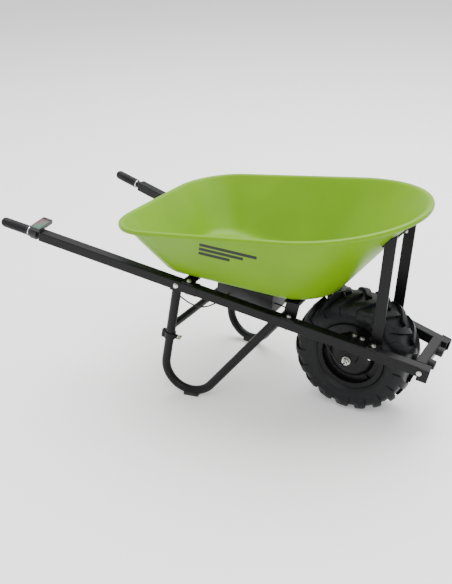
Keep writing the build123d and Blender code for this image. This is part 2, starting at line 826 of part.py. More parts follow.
wing_seat = at(post_joint, x=boss_end, turn=(0, 90, 0))
with BuildPart() as right_wing_screw:
    with Locations(wing_seat):
        reach = boss_end - collar_bore - 0.3
        Cylinder(wing_screw_d / 2, reach, align=(Align.CENTER, Align.CENTER, Align.MAX))
    with Locations(at(wing_seat, z=0.3)):
        Cylinder(wing_screw_d * 0.75, wing_hub, align=(Align.CENTER, Align.CENTER, Align.MIN))
    block(wing_seat, (-1.5, -wing_span / 2, wing_hub * 0.3), (1.5, wing_span / 2, wing_hub * 1.4))
    fillet(right_wing_screw.edges().filter_by(Axis(wing_seat.origin, wing_seat.x_dir)), 3.0)
    with Locations(wing_seat):
        Cylinder(wing_screw_d / 2, 1, align=(Align.CENTER, Align.CENTER, Align.MIN))
save(right_wing_screw, "right_wing_screw")

with BuildPart() as left_wing_screw:
    mirror(right_wing_screw.part, about=Plane.XZ)
save(left_wing_screw, "left_wing_screw")

brace_middle = post_at(brace_height).origin
with BuildPart() as leg_brace:
    with Locations(Plane(origin=(brace_middle.X, 0, brace_middle.Z), x_dir=(1, 0, 0), z_dir=(0, 1, 0))):
        Cylinder(brace_d / 2, -2 * brace_middle.Y)
        Cylinder(brace_d / 2 - 2, -2 * brace_middle.Y, mode=Mode.SUBTRACT)
    with Locations(post_joint):
        Cylinder(post_d / 2, 3 * post_bottom, mode=Mode.SUBTRACT)
    with Locations(seat_across(post_joint)):
        Cylinder(post_d / 2, 3 * post_bottom, mode=Mode.SUBTRACT)
save(leg_brace, "leg_brace")

# ---------------------------------------------------------------- axle carriers
hanger_bolt_places = [hanger_bolt_front / cos(slope) - step * hanger_bolt_pitch for step in (0, 1)]
hanger_bolt_middle = sum(hanger_bolt_places) / 2
hanger_bolt_spread = hanger_face + hanger_plate + m8 * 1.05
hanger_flange_half = hanger_bolt_pitch / 2 + m8 * 1.6
with BuildPart() as axle_ledges:
    block(
        deck,
        (hanger_bolt_middle - ledge_length / 2, -rail_spread, -ledge_plate),
        (hanger_bolt_middle + ledge_length / 2, -hanger_face, 0),
    )
    split(bisect_by=at(right_rail, 0, half_tube, 0, (-90, 0, 0)), keep=Keep.TOP)
    for place in hanger_bolt_places:
        bore(at(deck, place, -hanger_bolt_spread, 0), bolt_hole, ledge_plate)
    mirror(about=Plane.XZ)
save(axle_ledges, "axle_ledges")

with BuildPart() as axle_hangers:
    with BuildSketch(Plane(origin=(axle_x, -hanger_face, tyre_radius), x_dir=(1, 0, 0), z_dir=(0, -1, 0))):
        Circle(hanger_width / 2)
        top = deck.from_local_coords(Vector(hanger_bolt_middle, 0, -ledge_plate - hanger_plate))
        with Locations(Location((top.X - axle_x, top.Z - tyre_radius, 0), (0, 0, -frame_slope))):
            Rectangle(2 * hanger_flange_half, 2 * hanger_plate)
        make_hull()
    extrude(amount=hanger_plate)
    flange_reach = hanger_bolt_spread + m8 * 1.1
    block(
        deck,
        (hanger_bolt_middle - hanger_flange_half, -flange_reach, -ledge_plate - hanger_plate),
        (hanger_bolt_middle + hanger_flange_half, -hanger_face, -ledge_plate),
    )
    split(bisect_by=at(deck, z=-ledge_plate), keep=Keep.BOTTOM)
    for place in hanger_bolt_places:
        bore(at(deck, place, -hanger_bolt_spread, 0), bolt_hole, 40)
    half_slot = axle_flat / 2 + 0.1
    block(
        Plane(origin=(axle_x, -hanger_face, tyre_radius), x_dir=(1, 0, 0), z_dir=(0, 0, 1)),
        (-half_slot, -2 * hanger_plate, -hanger_width),
        (half_slot, hanger_plate, axle_d / 2 + 0.1),
        mode=Mode.SUBTRACT,
    )
    mirror(about=Plane.XZ)
save(axle_hangers, "axle_hangers")

with BuildPart() as hanger_bolts:
    for place in hanger_bolt_places:
        for piece in bolted(at(deck, place, -hanger_bolt_spread, 0), m8, ledge_plate + hanger_plate):
            add(piece)
    mirror(about=Plane.XZ)
save(hanger_bolts, "hanger_bolts")

with BuildPart() as axle:
    with Locations(wheel):
        Cylinder(axle_d / 2, 2 * axle_half)
    for side in (-1, 1):
        for way in (-1, 1):
            flat_low, flat_high = sorted((way * axle_flat / 2, way * axle_d))
            end_low, end_high = sorted((side * (hanger_face - 2), side * (axle_half + 1)))
            block(wheel, (flat_low, -axle_d, end_low), (flat_high, axle_d, end_high), mode=Mode.SUBTRACT)
    chamfer(axle.faces().filter_by(Axis.Y).sort_by(Axis.Y)[0].edges(), 0.8)
    bore(at(wheel, z=axle_half), axle_bore / 2, axle_bore_depth)
save(axle, "axle")

with BuildPart() as axle_nuts:
    nut_seat = at(wheel, z=hanger_face + hanger_plate)
    with Locations(nut_seat):
        Cylinder(axle_d * 0.95, 2, align=(Align.CENTER, Align.CENTER, Align.MIN))
    with BuildSketch(at(nut_seat, z=2)):
        RegularPolygon(axle_nut_across / 2, 6, major_radius=False)
    extrude(amount=axle_nut_height)
    chamfer(axle_nuts.faces().sort_by(Axis.Y)[0].edges(), 1.0)
    bore(at(nut_seat, z=20), axle_d / 2 + thread_gap, 40)
    mirror(about=Plane.XZ)
save(axle_nuts, "axle_nuts")

# ---------------------------------------------------------------- wheel, turned about the axle
axle_middle = Vector(axle_x, 0, tyre_radius)
section = Plane(origin=axle_middle, x_dir=(0, -1, 0), z_dir=(1, 0, 0))  # x along the axle, y as the radius
axle_line = Axis(axle_middle, (0, -1, 0))
tyre_half = tyre_width / 2
bead_half = rim_width / 2 - rim_wall
crown = tyre_radius - tread_depth
section_height = crown - bead_radius
belly = bead_radius + section_height * 0.52  # where the tyre is widest
flank = bead_radius + section_height * 0.34  # where the tread bars run out
shoulder = crown - section_height * 0.25
crown_edge = crown - section_height * 0.136


def closed_profile(points):
    """A straight-sided profile on both sides of the wheel's middle, given for the positive side."""
    return points + [(-x, y) for x, y in reversed(points)]


with BuildPart() as tread_form:
    with BuildSketch(section):
        with BuildLine():
            Line((tyre_half * 0.83, flank), (tyre_half * 0.97, flank))
            ThreePointArc(
                (tyre_half * 0.97, flank),
                (tyre_half * 1.0, shoulder),
                (tyre_half * 0.86, crown + 3),
            )
            Line((tyre_half * 0.86, crown + 3), (tyre_half * 0.74, tyre_radius - 4))
            ThreePointArc(
                (tyre_half * 0.74, tyre_radius - 4), (0, tyre_radius), (-tyre_half * 0.74, tyre_radius - 4)
            )
            Line((-tyre_half * 0.74, tyre_radius - 4), (-tyre_half * 0.86, crown + 3))
            ThreePointArc(
                (-tyre_half * 0.86, crown + 3),
                (-tyre_half * 1.0, shoulder),
                (-tyre_half * 0.97, flank),
            )
            Line((-tyre_half * 0.97, flank), (-tyre_half * 0.83, flank))
            ThreePointArc(
                (-tyre_half * 0.83, flank),
                (-tyre_half + 9, belly),
                (-tyre_half * 0.79, crown_edge - 3),
            )
            ThreePointArc((-tyre_half * 0.79, crown_edge - 3), (0, crown - 4), (tyre_half * 0.79, crown_edge - 3))
            ThreePointArc(
                (tyre_half * 0.79, crown_edge - 3),
                (tyre_half - 9, belly),
                (tyre_half * 0.83, flank),
            )
        make_face()
    revolve(axis=axle_line)


def lug(side):
    """One tread bar, from just over the middle out to the shoulder and down it."""
    with BuildPart() as bar:
        start = axle_middle + Vector(0, 0, bead_radius + 8)
        with BuildSketch(Plane(origin=start, x_dir=(1, 0, 0), z_dir=(0, 0, 1))):
            Polygon(
                (-lug_width / 2, side * 5),
                (lug_width / 2, side * 5),
                (lug_width / 2 - lug_sweep * 0.8, -side * tyre_half * 0.72),
                (lug_width / 2 - lug_sweep, -side * (tyre_half + 2)),
                (lug_width / 2 - lug_shoulder - lug_sweep, -side * (tyre_half + 2)),
                (lug_width / 2 - lug_shoulder * 0.8 - lug_sweep * 0.8, -side * tyre_half * 0.72),
                align=None,
            )
        extrude(amount=tyre_radius)
        add(tread_form.part, mode=Mode.INTERSECT)
    return bar.part


with BuildPart() as tyre:
    with BuildSketch(section):
        with BuildLine():
            Line((bead_half - 8, bead_radius + 0.05), (bead_half - 0.05, bead_radius + 0.05))
            Line((bead_half - 0.05, bead_radius + 0.05), (bead_half - 0.05, bead_radius + flange_height + 1))
            ThreePointArc(
                (bead_half - 0.05, bead_radius + flange_height + 1),
                (tyre_half - 4, belly),
                (tyre_half * 0.84, crown_edge),
            )
            ThreePointArc((tyre_half * 0.84, crown_edge), (0, crown), (-tyre_half * 0.84, crown_edge))
            ThreePointArc(
                (-tyre_half * 0.84, crown_edge),
                (4 - tyre_half, belly),
                (0.05 - bead_half, bead_radius + flange_height + 1),
            )
            Line((0.05 - bead_half, bead_radius + flange_height + 1), (0.05 - bead_half, bead_radius + 0.05))
            Line((0.05 - bead_half, bead_radius + 0.05), (8 - bead_half, bead_radius + 0.05))
            Line((8 - bead_half, bead_radius + 0.05), (8 - bead_half, bead_radius + 12))
            ThreePointArc(
                (8 - bead_half, bead_radius + 12),
                (4 + tyre_wall - tyre_half, belly),
                (-tyre_half * 0.84 + tyre_wall, crown_edge - tyre_wall),
            )
            ThreePointArc(
                (-tyre_half * 0.84 + tyre_wall, crown_edge - tyre_wall),
                (0, crown - tyre_wall),
                (tyre_half * 0.84 - tyre_wall, crown_edge - tyre_wall),
            )
            ThreePointArc(
                (tyre_half * 0.84 - tyre_wall, crown_edge - tyre_wall),
                (tyre_half - 4 - tyre_wall, belly),
                (bead_half - 8, bead_radius + 12),
            )
            Line((bead_half - 8, bead_radius + 12), (bead_half - 8, bead_radius + 0.05))
        make_face()
    revolve(axis=axle_line)
    right_lug = lug(1)
    left_lug = lug(-1)
    for step in range(lug_count):
        turn = 360 / lug_count * step
        add(right_lug.rotate(axle_line, turn))
        add(left_lug.rotate(axle_line, turn + 180 / lug_count))
save(tyre, "tyre")

shell_inner = shell_radius - shell_wall
rim_bore = bead_radius - rim_wall
flange_radius = bead_radius + flange_height
rim_half_width = rim_width / 2
valve_turn = at(wheel, turn=(0, 0, valve_angle))
valve_seat = at(valve_turn, x=bead_radius + 1, z=valve_offset, turn=(0, 90 + valve_tilt, 0))
with BuildPart() as wheel_rim:
    with BuildSketch(section):
        with BuildLine():
            Polyline(
                *closed_profile(
                    [
                        (cover_face, shell_inner),
                        (cover_face, rim_bore),
                        (rim_half_width, rim_bore),
                        (rim_half_width, flange_radius),
                        (bead_half, flange_radius),
                        (bead_half, bead_radius),
                        (bead_half - 20, bead_radius),
                        (bead_half - 24, shell_radius + 1),
                    ]
                ),
                close=True,
            )
        make_face()
    revolve(axis=axle_line)
    cover_seat = at(wheel, z=cover_face)
    for seat in (cover_seat, seat_across(cover_seat)):
        for step in range(cover_screw_count):
            spot = at(seat, turn=(0, 0, 360 / cover_screw_count * step))
            bore(at(spot, x=cover_screw_ring), cover_screw_d / 2 + thread_gap, cover_screw_length)
    bore(at(valve_seat, z=6), valve_d / 2 + thread_gap, 14)
save(wheel_rim, "wheel_rim")

with BuildPart() as right_motor_cover:
    with BuildSketch(section):
        with BuildLine():
            Polyline(
                (cover_face, dome_radius - 2),
                (cover_face, rim_bore - 0.4),
                (cover_face + cover_wall, rim_bore - 0.4),
                (cover_face + cover_wall, dome_radius + 4),
            )
            ThreePointArc(
                (cover_face + cover_wall, dome_radius + 4),
                (cover_dome - 5, dome_radius * 0.74),
                (cover_dome, dome_radius * 0.36),
            )
            Polyline(
                (cover_dome, dome_radius * 0.36),
                (cover_dome, axle_d / 2 + 1.0),
                (bearing_end, axle_d / 2 + 1.0),
                (bearing_end, bearing_od / 2),
                (bearing_end - bearing_width, bearing_od / 2),
                (bearing_end - bearing_width, bearing_od / 2 + cover_wall),
                (cover_dome - cover_wall - 2, bearing_od / 2 + cover_wall),
            )
            ThreePointArc(
                (cover_dome - cover_wall - 2, bearing_od / 2 + cover_wall),
                (cover_dome - 5 - cover_wall, dome_radius * 0.70),
                (cover_face, dome_radius - 2),
            )
        make_face()
    revolve(axis=axle_line)
    for step in range(cover_screw_count):
        spot = at(cover_seat, z=cover_wall, turn=(0, 0, 360 / cover_screw_count * step))
        bore(at(spot, x=cover_screw_ring), cover_screw_d / 2 + hole_gap, cover_wall)
save(right_motor_cover, "right_motor_cover")

with BuildPart() as left_motor_cover:
    mirror(right_motor_cover.part, about=Plane.XZ)
save(left_motor_cover, "left_motor_cover")

with BuildPart() as cover_screws:
    for step in range(cover_screw_count):
        spot = at(cover_seat, z=cover_wall, turn=(0, 0, 360 / cover_screw_count * step))
        with Locations(at(spot, x=cover_screw_ring)):
            Cylinder(
                cover_screw_d / 2,
                cover_screw_length + cover_wall - 1,
                align=(Align.CENTER, Align.CENTER, Align.MAX),
            )
            Cylinder(cover_screw_d * 0.8, cover_screw_d * 0.6, align=(Align.CENTER, Align.CENTER, Align.MIN))
    chamfer(cover_screws.faces().group_by(Axis.Y)[0].edges(), 0.7)
    mirror(about=Plane.XZ)
save(cover_screws, "cover_screws")

with BuildPart() as motor_bearings:
    with BuildSketch(section):
        with Locations((bearing_end - bearing_width / 2, (axle_d / 2 + bearing_od / 2) / 2)):
            Rectangle(bearing_width - 0.1, bearing_od / 2 - axle_d / 2 - 2 * running_gap)
    revolve(axis=axle_line)
    for way in (-1, 1):
        with BuildSketch(at(wheel, z=bearing_end - bearing_width / 2 + way * bearing_width / 2)):
            Circle(bearing_od / 2 - 2.5)
            Circle(axle_d / 2 + 2.5, mode=Mode.SUBTRACT)
        extrude(amount=-way * 1.2, mode=Mode.SUBTRACT)
    mirror(about=Plane.XZ)
save(motor_bearings, "motor_bearings")

stator_radius = shell_inner - magnet_thick - air_gap
with BuildPart() as rotor_magnets:
    with BuildSketch(wheel):
        Circle(shell_inner - 0.05)
        Circle(shell_inner - magnet_thick, mode=Mode.SUBTRACT)
        with PolarLocations(0, magnet_count):
            with Locations((shell_inner, 0)):
                Rectangle(magnet_thick * 4, 1.6, mode=Mode.SUBTRACT)
    extrude(amount=stator_stack / 2, both=True)
save(rotor_magnets, "rotor_magnets")

with BuildPart() as motor_stator:
    with BuildSketch(wheel):
        Circle(stator_radius)
        Circle(axle_d / 2 + running_gap, mode=Mode.SUBTRACT)
        with PolarLocations(stator_radius - 13, stator_slots):
            SlotOverall(22, 8, mode=Mode.SUBTRACT)
        with PolarLocations(stator_radius * 0.47, 6):
            Circle(9, mode=Mode.SUBTRACT)
    extrude(amount=stator_stack / 2, both=True)
save(motor_stator, "motor_stator")

with BuildPart() as valve_stem:
    with Locations(valve_seat):
        Cylinder(valve_d / 2, valve_length, align=(Align.CENTER, Align.CENTER, Align.MAX))
        Cylinder(valve_d * 0.62, 2, align=(Align.CENTER, Align.CENTER, Align.MIN))
    with Locations(at(valve_seat, z=7 - valve_length)):
        Cylinder(valve_d * 0.58, 7.5, align=(Align.CENTER, Align.CENTER, Align.MAX))
save(valve_stem, "valve_stem")

# ---------------------------------------------------------------- battery box under the tray
box_bottom = box_top - box_depth
box_half = box_width / 2
hinge_middle = (box_rear - 2.0, box_bottom - 5.0)
hinge_seat = at(floor_plane, hinge_middle[0], 0, hinge_middle[1], (90, 0, 0))
knuckle_r = 4.0
with BuildPart() as battery_box:
    block(floor_plane, (box_rear, -box_half, box_bottom), (box_front, box_half, box_top))
    fillet(battery_box.edges().filter_by(Axis(floor_plane.origin, floor_plane.x_dir)), 8.0)
    with BuildSketch(at(floor_plane, box_rear, 0, (box_top + box_bottom) / 2, (0, 90, 0))):
        RectangleRounded(box_depth - 2 * box_wall, box_width - 2 * box_wall, 5.0)
    extrude(amount=box_length - box_wall, mode=Mode.SUBTRACT)
    for side in (-1, 1):
        low, high = sorted((side * knuckle_in, side * (knuckle_in + knuckle_length)))
        block(floor_plane, (box_rear + 0.5, low, box_bottom - 5), (box_rear + 12, high, box_bottom + 1))
        with Locations(at(hinge_seat, z=-side * (knuckle_in + knuckle_length / 2))):
            Cylinder(knuckle_r, knuckle_length)
        block(
            floor_plane,
            (hinge_middle[0], low, hinge_middle[1] - knuckle_r),
            (box_rear + 12, high, hinge_middle[1]),
        )
        with Locations(at(hinge_seat, z=-side * (knuckle_in + knuckle_length))):
            Cylinder(pin_d / 2, 2 * knuckle_length)
    for x, y in box_screw_spots:
        bore(at(floor_plane, x, y, 0), m6 / 2 + hole_gap, 30)
save(battery_box, "battery_box")

with BuildPart() as box_screws:
    for x, y in box_screw_spots:
        head_seat = at(floor_plane, x, y, under_strap)
        nut_seat = at(head_seat, z=-bar_plate - box_wall, turn=(180, 0, 0))
        with Locations(head_seat):
            Cylinder(m6 * 0.9, m6 * 0.4, align=(Align.CENTER, Align.CENTER, Align.MIN))
            Cylinder(m6 / 2, bar_plate + box_wall + m6, align=(Align.CENTER, Align.CENTER, Align.MAX))
        add(flange_nut(m6).moved(nut_seat.location))
save(box_screws, "box_screws")

lid_inside = box_rear - 0.3
lid_outside = lid_inside - lid_plate
latch_height = box_top - 20.0
with BuildPart() as battery_lid:
    block(floor_plane, (lid_outside, -box_half, box_bottom + 0.5), (lid_inside, box_half, box_top - 0.5))
    fillet(battery_lid.edges().filter_by(Axis(floor_plane.origin, floor_plane.x_dir)), 7.0)
    with BuildSketch(at(floor_plane, lid_outside, 0, (box_top + box_bottom) / 2, (0, -90, 0))):
        for row in (-10, -4, 2):
            with Locations((row - 6, 60), (row - 6, -60)):
                SlotOverall(70, 3, rotation=90)
    extrude(amount=-1.2, mode=Mode.SUBTRACT)
    for side in (-1, 1):
        inner_end = knuckle_in + knuckle_length + 1
        low, high = sorted((side * inner_end, side * (inner_end + knuckle_length)))
        block(floor_plane, (lid_outside, low, hinge_middle[1]), (lid_inside, high, box_bottom + 3))
        with Locations(at(hinge_seat, z=-side * (inner_end + knuckle_length / 2))):
            Cylinder(knuckle_r, knuckle_length)
            Cylinder(pin_d / 2 + 0.15, 3 * knuckle_length, mode=Mode.SUBTRACT)
    bore(at(floor_plane, lid_inside + 1, 0, latch_height, (0, 90, 0)), latch_d / 2 + 0.15, lid_plate + 2)
save(battery_lid, "battery_lid")

latch_seat = at(floor_plane, lid_outside, 0, latch_height, (0, -90, 0))
with BuildPart() as lid_latch:
    with Locations(at(latch_seat, z=0.2)):
        Cylinder(latch_width / 2, 3, align=(Align.CENTER, Align.CENTER, Align.MIN))
    block(at(latch_seat, z=0.2), (-latch_width / 2 + 2, -3.5, 2), (latch_width / 2 - 2, 3.5, 11))
    with Locations(at(latch_seat, z=1)):
        Cylinder(latch_d / 2, lid_plate + 3, align=(Align.CENTER, Align.CENTER, Align.MAX))
    block(latch_seat, (-5, -5, -lid_plate - 4), (latch_reach, 5, -lid_plate - 1.2))
save(lid_latch, "lid_latch")

with BuildPart() as battery_pack:
    block(
        floor_plane,
        (box_rear + 24, -box_half + 10, box_bottom + box_wall),
        (box_front - 12, -12, box_bottom + box_wall + 56),
    )
    fillet(battery_pack.edges().filter_by(Axis(floor_plane.origin, floor_plane.z_dir)), 6.0)
    block(
        floor_plane,
        (box_rear + 60, -box_half + 50, box_bottom + box_wall + 56),
        (box_rear + 100, -52, box_bottom + box_wall + 60),
    )
save(battery_pack, "battery_pack")

with BuildPart() as controller:
    controller_floor = box_bottom + box_wall
    block(floor_plane, (box_rear + 50, 24, controller_floor), (box_front - 22, 112, controller_floor + 12))
    for fin in range(8):
        start = 28 + fin * 11
        block(
            floor_plane,
            (box_rear + 54, start, controller_floor + 11),
            (box_front - 26, start + 4, controller_floor + 32),
        )
save(controller, "controller")

# ---------------------------------------------------------------- throttle and display on the right handle
clamp_rear = right_grip_end + grip_length + collar_width + lever_width + 2.0
clamp_front = clamp_rear + clamp_width
pod_front = clamp_rear + pod_length
pod_middle = (clamp_rear + pod_front) / 2
pod_floor = max(half_tube, lever_ring_d / 2) + 0.5
pod_top = pod_floor + pod_thick
lens_half = pod_length / 2 - 3.0
lens_start = 3.0 - pod_overhang
lens_end = pod_reach - 16.0
button_y = pod_reach - 8.0
with BuildPart() as throttle_housing:
    with Locations(at(right_rail, clamp_rear, 0, 0, (0, 90, 0))):
        Cylinder(clamp_d / 2, clamp_width, align=(Align.CENTER, Align.CENTER, Align.MIN))
    chamfer(throttle_housing.edges().filter_by(GeomType.CIRCLE), 1.5)
    block(right_rail, (clamp_rear, -pod_overhang, pod_floor), (pod_front, pod_reach, pod_top))
    upright_edges = throttle_housing.edges().filter_by(Axis(right_rail.origin, right_rail.z_dir))
    fillet(upright_edges, 5.0)
    neck_low, neck_high = (clamp_rear + 2, -pod_neck / 2, pod_floor - 6), (clamp_front - 2, pod_neck / 2, pod_floor)
    block(right_rail, neck_low, neck_high)
    bore(at(right_rail, clamp_front + 10, 0, 0, (0, 90, 0)), grip_tube_d / 2 + thread_gap, clamp_width + 20)
    block(
        right_rail,
        (pod_middle - lens_half, lens_start, pod_top - lens_plate),
        (pod_middle + lens_half, lens_end, pod_top + 1),
        mode=Mode.SUBTRACT,
    )
    for way in (-1, 1):
        bore(at(right_rail, pod_middle + way * 8, button_y, pod_top), button_d / 2 + 0.1, 6.0)
save(throttle_housing, "throttle_housing")

with BuildPart() as display_lens:
    block(
        right_rail,
        (pod_middle - lens_half + 0.1, lens_start + 0.1, pod_top - lens_plate),
        (pod_middle + lens_half - 0.1, lens_end - 0.1, pod_top),
    )
save(display_lens, "display_lens")


def press_button(way):
    """A round button standing a little proud of the pod."""
    with BuildPart() as button:
        with Locations(at(right_rail, pod_middle + way * 8, button_y, pod_top - 6.0 + button_travel + 0.3)):
            Cylinder(button_d / 2, 6.5, align=(Align.CENTER, Align.CENTER, Align.MIN))
        chamfer(button.edges().group_by(Axis(right_rail.origin, right_rail.z_dir))[-1], 0.6)
    return button.part


with BuildPart() as power_button:
    add(press_button(-1))
save(power_button, "power_button")

with BuildPart() as direction_button:
    add(press_button(1))
save(direction_button, "direction_button")

lever_rear = clamp_rear - 1.0 - lever_width
lever_base = at(right_rail, lever_rear, 0, 0, (-30, 0, 0))
with BuildPart() as throttle_lever:
    with Locations(at(right_rail, lever_rear, 0, 0, (0, 90, 0))):
        Cylinder(lever_ring_d / 2, lever_width, align=(Align.CENTER, Align.CENTER, Align.MIN))
    block(lever_base, (0, 0, -3), (lever_width, lever_reach, 3))
    block(lever_base, (-lever_thumb, lever_reach - 14, -3), (lever_width, lever_reach, 3))
    fillet(throttle_lever.edges().filter_by(Axis(lever_base.origin, lever_base.z_dir)), 2.5)
    bore(at(right_rail, lever_rear + 50, 0, 0, (0, 90, 0)), grip_tube_d / 2 + 0.15, 100)
save(throttle_lever, "throttle_lever")


# ---------------------------------------------------------------- cables
def cable(straight, points, start_way, end_way):
    """A round cable: an optional straight run, then a curve through points to its end."""
    with BuildPart() as run:
        with BuildLine() as path:
            if straight:
                Line(*straight)
            Spline(*points, tangents=(start_way, end_way))
        with BuildSketch(path.line ^ 0):
            Circle(cable_d / 2)
        sweep()
    return run.part


def on_rail(along, y, z):
    """A point given along the right rail, from its axis."""
    return right_rail.from_local_coords(Vector(along, y, z))


def on_floor(x, y, z):
    """A point given from the tray's floor plane."""
    return floor_plane.from_local_coords(Vector(x, y, z))


under_tube = -half_tube - cable_d / 2 - 0.1
box_side = -box_half - 0.1
with BuildPart() as throttle_cable:
    add(
        cable(
            (on_rail(clamp_front + 0.1, cable_line, under_tube), on_rail(-650, cable_line, under_tube)),
            (
                on_rail(-650, cable_line, under_tube),
                on_rail(-600, 24, under_tube - 18),
                on_rail(-545, 34, under_tube - 52),
                on_rail(-490, 32, under_tube - 58),
                on_floor(box_rear + 40, box_side, (box_top + box_bottom) / 2 - 6),
            ),
            right_rail.x_dir,
            Vector(0, 1, 0),
        )
    )
save(throttle_cable, "throttle_cable")

with BuildPart() as motor_cable:
    add(
        cable(
            None,
            (
                axle_middle + Vector(0, -axle_half - 0.1, 0),
                axle_middle + Vector(-34, -axle_half - 16, 30),
                on_rail(-80, half_tube + 8, -half_tube - 6),
                on_rail(-170, half_tube + 10, -half_tube - 2),
                on_floor(box_front + 0.1, -box_half + 24, (box_top + box_bottom) / 2),
            ),
            Vector(0, -1, 0),
            -floor_plane.x_dir,
        )
    )
save(motor_cable, "motor_cable")

groove = cable_d / 2 + 0.1
with BuildPart() as cable_clips:
    for place in clip_places:
        clip_end = place + clip_width
        low = (place, cable_line - groove - clip_wall, under_tube - groove - clip_wall)
        block(right_rail, low, (clip_end, cable_line + groove + clip_wall, -half_tube))
        bore(at(right_rail, clip_end + 1, cable_line, under_tube, (0, 90, 0)), groove, clip_width + 2)
        slot_low, slot_high = (place - 1, cable_line - groove, under_tube), (clip_end + 1, cable_line + groove, 0)
        block(right_rail, slot_low, slot_high, mode=Mode.SUBTRACT)
save(cable_clips, "cable_clips")
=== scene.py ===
import bpy
import bmesh
from math import acos, atan2, cos, hypot, pi, radians, sin, tan
from mathutils import Matrix, Vector


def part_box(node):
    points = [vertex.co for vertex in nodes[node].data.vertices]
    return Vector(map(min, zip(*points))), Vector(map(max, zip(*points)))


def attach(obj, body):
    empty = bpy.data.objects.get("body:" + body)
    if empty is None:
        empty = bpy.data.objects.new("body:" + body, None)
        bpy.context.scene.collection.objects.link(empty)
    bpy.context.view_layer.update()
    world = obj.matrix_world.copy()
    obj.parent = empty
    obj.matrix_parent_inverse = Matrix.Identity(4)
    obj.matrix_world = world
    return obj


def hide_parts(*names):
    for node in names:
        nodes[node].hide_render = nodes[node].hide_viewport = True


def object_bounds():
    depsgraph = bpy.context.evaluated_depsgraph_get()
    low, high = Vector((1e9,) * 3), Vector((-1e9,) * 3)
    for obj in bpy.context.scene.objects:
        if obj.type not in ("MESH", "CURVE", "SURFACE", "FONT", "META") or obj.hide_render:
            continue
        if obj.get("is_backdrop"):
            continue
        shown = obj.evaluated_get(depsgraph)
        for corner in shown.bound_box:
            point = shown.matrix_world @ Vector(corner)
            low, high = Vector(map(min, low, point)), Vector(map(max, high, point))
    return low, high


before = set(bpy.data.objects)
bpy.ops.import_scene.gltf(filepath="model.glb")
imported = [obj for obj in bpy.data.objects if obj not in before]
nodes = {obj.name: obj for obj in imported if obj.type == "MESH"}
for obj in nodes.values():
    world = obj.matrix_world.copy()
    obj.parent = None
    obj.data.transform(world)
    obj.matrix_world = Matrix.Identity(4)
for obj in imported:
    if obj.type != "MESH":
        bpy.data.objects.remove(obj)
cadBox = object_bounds()
axleLow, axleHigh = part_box("axle")
axleX = (axleLow.x + axleHigh.x) / 2  # the tray, the tyre and the camera are placed from the axle
hubZ = (axleLow.z + axleHigh.z) / 2
print("frame loaded, axle at", round(axleX, 4), round(hubZ, 4))


# shader maths: one class wraps a socket, so a pattern reads as a sum
class Wire:
    def __init__(self, finish, socket):
        self.finish = finish
        self.socket = socket

    def maths(self, operation, *others):
        return self.finish.add("ShaderNodeMath", {"operation": operation}, self, *others)

    def __add__(self, other):
        return self.maths("ADD", other)

    __radd__ = __add__

    def __mul__(self, other):
        return self.maths("MULTIPLY", other)

    __rmul__ = __mul__

    def __sub__(self, other):
        return self.maths("SUBTRACT", other)

    def __rsub__(self, other):
        return self.finish.add("ShaderNodeMath", {"operation": "SUBTRACT"}, other, self)

    def __truediv__(self, other):
        return self.maths("DIVIDE", other)

    def __gt__(self, other):
        return self.maths("GREATER_THAN", other)

    def __lt__(self, other):
        return self.maths("LESS_THAN", other)

    def __abs__(self):
        return self.maths("ABSOLUTE")

    def ramp(self, low, high, start=0.0, end=1.0):
        return self.finish.add(
            "ShaderNodeMapRange", {"interpolation_type": "SMOOTHSTEP"}, self, low, high, start, end
        )

    def repeat(self, length):
        return self.maths("PINGPONG", length)


class Finish:
    def __init__(self, name, colour, roughness, **fixed):
        self.material = bpy.data.materials.new(name)
        self.material.use_nodes = True
        self.tree = self.material.node_tree
        self.shader = self.tree.nodes["Principled BSDF"]
        self.shader.inputs["Base Color"].default_value = (*colour, 1)
        self.shader.inputs["Roughness"].default_value = roughness
        for socketName, value in fixed.items():
            self.shader.inputs[socketName.replace("_", " ")].default_value = value

    def add(self, kind, settings, *values, out=0, **named):
        node = self.tree.nodes.new(kind)
        for key, value in settings.items():
            setattr(node, key, value)
        inputs = list(enumerate(values)) + [(k.replace("_", " "), v) for k, v in named.items()]
        for key, value in inputs:
            if isinstance(value, Wire):
                self.tree.links.new(value.socket, node.inputs[key])
            else:
                node.inputs[key].default_value = value
        return Wire(self, node.outputs[out])

    def place(self, scale=(1, 1, 1), shift=(0, 0, 0)):
        coords = self.add("ShaderNodeTexCoord", {}, out="Object")
        return self.add("ShaderNodeMapping", {}, coords, shift, Scale=scale)

    def axes(self, where=None):
        split = self.add("ShaderNodeSeparateXYZ", {}, where or self.place())
        return [Wire(self, split.socket.node.outputs[i]) for i in range(3)]

    def noise(self, scale, detail=3.0, rough=0.5, stretch=(1, 1, 1)):
        where = self.place(scale=stretch)
        return self.add("ShaderNodeTexNoise", {}, Vector=where, Scale=scale, Detail=detail, Roughness=rough)

    # a Mix node's inputs 0, 6 and 7 are its factor and two colours, and output 2 is its colour
    def mix(self, mask, first, second):
        node = self.tree.nodes.new("ShaderNodeMix")
        node.data_type = "RGBA"
        for key, value in ((0, mask), (6, first), (7, second)):
            if isinstance(value, Wire):
                self.tree.links.new(value.socket, node.inputs[key])
            else:
                node.inputs[key].default_value = value if key == 0 else (*value, 1)
        return Wire(self, node.outputs[2])

    def feed(self, socketName, wire):
        self.tree.links.new(wire.socket, self.shader.inputs[socketName])

    def bump(self, height, strength, distance):
        bumped = self.add("ShaderNodeBump", {}, Strength=strength, Distance=distance, Height=height)
        self.feed("Normal", bumped)


